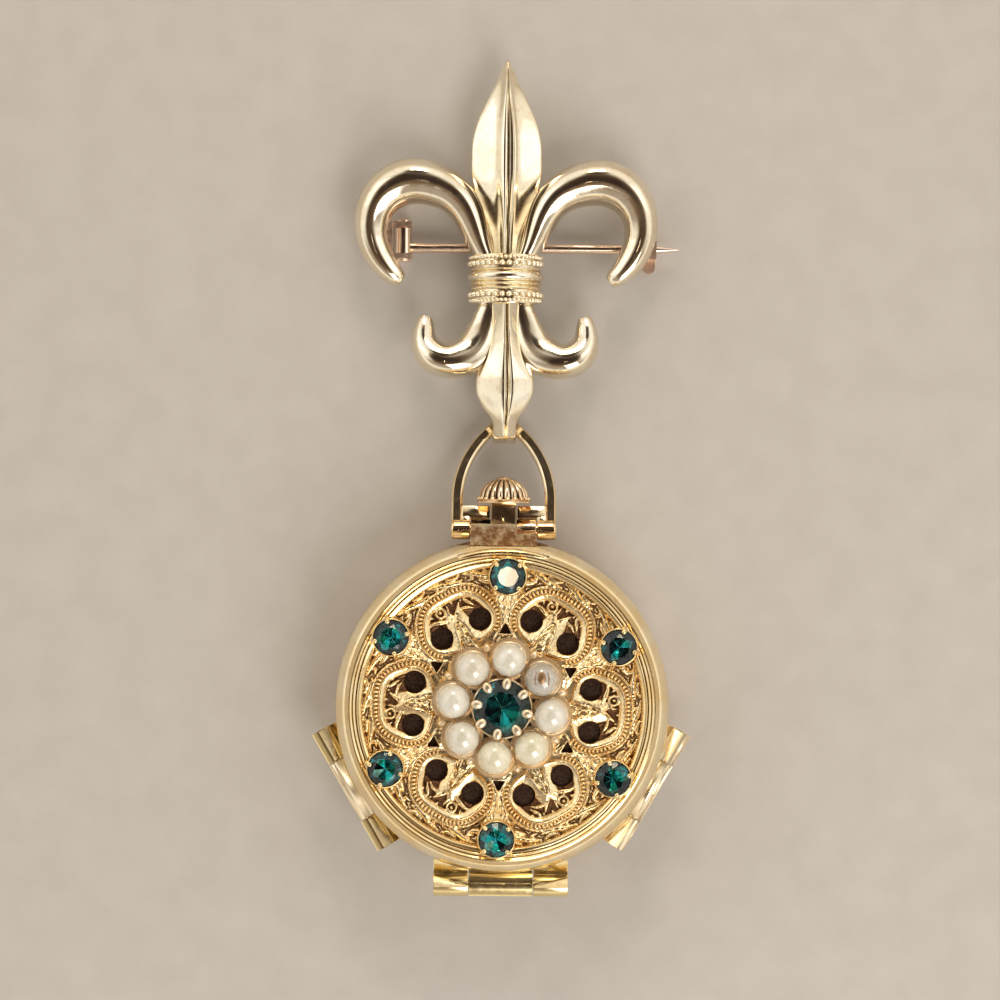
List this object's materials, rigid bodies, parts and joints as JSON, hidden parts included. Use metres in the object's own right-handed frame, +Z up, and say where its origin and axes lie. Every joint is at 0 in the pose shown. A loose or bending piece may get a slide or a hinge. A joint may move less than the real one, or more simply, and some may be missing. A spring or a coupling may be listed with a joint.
{
  "type": "fleur-de-lis brooch with a hanging folding photo locket",
  "caption": "Fleur-de-lis brooch with a pin back and a stirrup bow that carries a round folding photo locket with pierced ornament, green stones and pearls.",
  "frame": {"origin": "middle of the outline on the surface that the brooch lies on", "axes": "+Y toward the fleur's tip, +Z up from the surface toward the locket's jewelled front, +X to the right seen from the front"},
  "size_m": [0.038, 0.0836, 0.0148],
  "materials": {
    "gold": "polished gold plate",
    "polished_gold": "mirror polished gold plate",
    "filigree_gold": "stamped gold plate with dark recesses",
    "pin_metal": "drawn wire, rose gold plate",
    "green_stone": "cut glass",
    "pearl": "pearl lustre"
  },
  "bodies": {
    "brooch": {"fleur": "gold", "pin_joint": "gold", "pin_catch": "gold", "hanging_eye": "gold"},
    "pin": {"pin_stem": "pin_metal"},
    "bow": {"bow": "polished_gold"},
    "locket_back": {"case_back": "gold", "crown": "gold", "hinge_pin_back": "gold"},
    "inner_leaf_1": {"inner_frame_1": "gold", "hinge_pin_middle": "gold"},
    "inner_leaf_2": {"inner_frame_2": "gold", "hinge_pin_cover": "gold"},
    "locket_front": {"cover": "polished_gold", "filigree": "filigree_gold", "pearl_cluster": "filigree_gold", "centre_stone": "green_stone", "rim_stone_1": "green_stone", "rim_stone_2": "green_stone", "rim_stone_3": "green_stone", "rim_stone_4": "green_stone", "rim_stone_5": "green_stone", "rim_stone_6": "green_stone", "pearl_1": "pearl", "pearl_2": "pearl", "pearl_3": "pearl", "pearl_4": "pearl", "pearl_5": "pearl", "pearl_6": "pearl", "pearl_7": "pearl", "pearl_8": "pearl"}
  },
  "joints": [
    {"name": "pin_hinge", "type": "hinge", "parent": "brooch", "child": "pin", "pos_m": [-0.0104, 0.02305, 0.0017], "axis": [0, 1, 0], "range_deg": [0, 75]},
    {"name": "bow_swing", "type": "hinge", "parent": "brooch", "child": "bow", "pos_m": [0, 0.0048, 0.0015], "axis": [1, 0, 0], "range_deg": [-40, 40]},
    {"name": "locket_swing", "type": "hinge", "parent": "bow", "child": "locket_back", "pos_m": [0, -0.00545, 0.005], "axis": [1, 0, 0], "range_deg": [-25, 60]},
    {"name": "back_hinge", "type": "hinge", "parent": "locket_back", "child": "inner_leaf_1", "pos_m": [0.01477, -0.03138, 0.0045], "axis": [0.5, 0.866, 0], "range_deg": [0, 180]},
    {"name": "middle_hinge", "type": "hinge", "parent": "inner_leaf_1", "child": "inner_leaf_2", "pos_m": [-0.01477, -0.03138, 0.0063], "axis": [0.5, -0.866, 0], "range_deg": [0, 180]},
    {"name": "cover_hinge", "type": "hinge", "parent": "inner_leaf_2", "child": "locket_front", "pos_m": [0, -0.04065, 0.0081], "axis": [1, 0, 0], "range_deg": [0, 180]}
  ]
}
